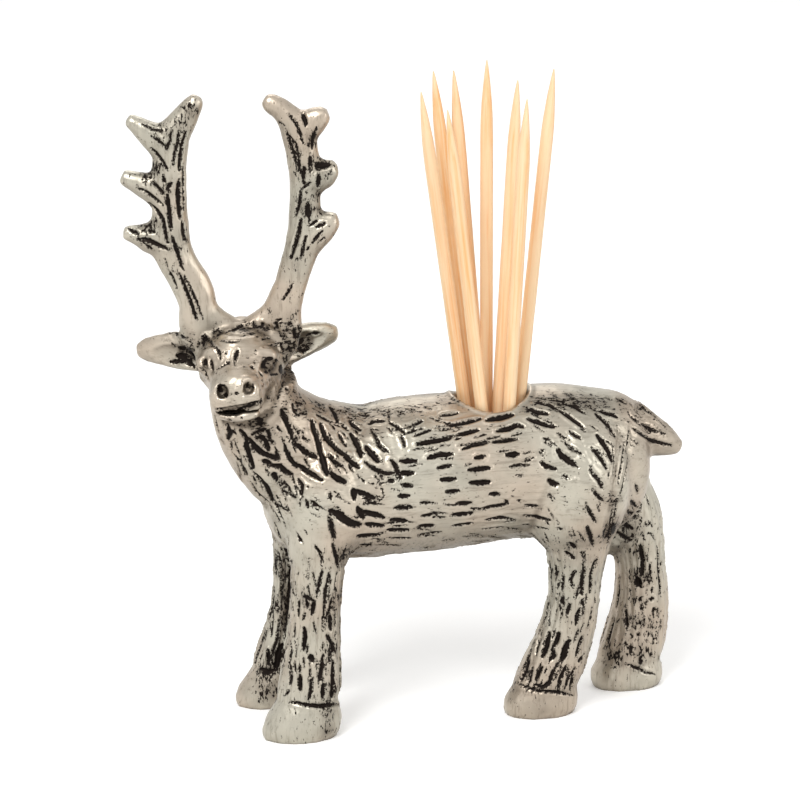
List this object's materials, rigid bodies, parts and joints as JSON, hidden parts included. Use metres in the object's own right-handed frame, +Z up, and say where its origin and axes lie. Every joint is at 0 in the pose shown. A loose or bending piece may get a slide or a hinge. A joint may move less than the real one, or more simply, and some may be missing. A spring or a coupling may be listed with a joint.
{
  "type": "toothpick holder",
  "caption": "Cast metal stag figure with a round pocket in its back that holds wooden toothpicks; the antlers are a separate casting and the picks lift out.",
  "frame": {"origin": "middle of the part's box in X and Y, on the plane of the soles", "axes": "+Z up, -X the way the stag walks, -Y its near side, toward which it turns its head"},
  "size_m": [0.0906, 0.0282, 0.1044],
  "materials": {
    "stag_metal": "satin cast metal with a black antique wash in the engraved fur",
    "antler_metal": "satin cast metal with a black antique wash in the engraved grooves",
    "pick_wood": "bare sanded wood"
  },
  "bodies": {
    "holder": {"stag_body": "stag_metal", "antler_rack": "antler_metal"},
    "pick_1": {"toothpick_1": "pick_wood"},
    "pick_2": {"toothpick_2": "pick_wood"},
    "pick_3": {"toothpick_3": "pick_wood"},
    "pick_4": {"toothpick_4": "pick_wood"},
    "pick_5": {"toothpick_5": "pick_wood"},
    "pick_6": {"toothpick_6": "pick_wood"},
    "pick_7": {"toothpick_7": "pick_wood"},
    "pick_8": {"toothpick_8": "pick_wood"}
  },
  "joints": [
    {"name": "pick_1_lift", "type": "slide", "parent": "holder", "child": "pick_1", "axis": [-0.1567, -0.0796, 0.9844], "range_m": [0, 0.07]},
    {"name": "pick_2_lift", "type": "slide", "parent": "holder", "child": "pick_2", "axis": [-0.1143, 0.014, 0.9934], "range_m": [0, 0.07]},
    {"name": "pick_3_lift", "type": "slide", "parent": "holder", "child": "pick_3", "axis": [-0.1365, -0.0834, 0.9871], "range_m": [0, 0.07]},
    {"name": "pick_4_lift", "type": "slide", "parent": "holder", "child": "pick_4", "axis": [-0.08, 0.0269, 0.9964], "range_m": [0, 0.07]},
    {"name": "pick_5_lift", "type": "slide", "parent": "holder", "child": "pick_5", "axis": [0.022, 0.106, 0.9941], "range_m": [0, 0.07]},
    {"name": "pick_6_lift", "type": "slide", "parent": "holder", "child": "pick_6", "axis": [0.0568, 0.0189, 0.9982], "range_m": [0, 0.07]},
    {"name": "pick_7_lift", "type": "slide", "parent": "holder", "child": "pick_7", "axis": [0.0335, -0.0569, 0.9978], "range_m": [0, 0.07]},
    {"name": "pick_8_lift", "type": "slide", "parent": "holder", "child": "pick_8", "axis": [0.1189, 0.0798, 0.9897], "range_m": [0, 0.07]}
  ]
}
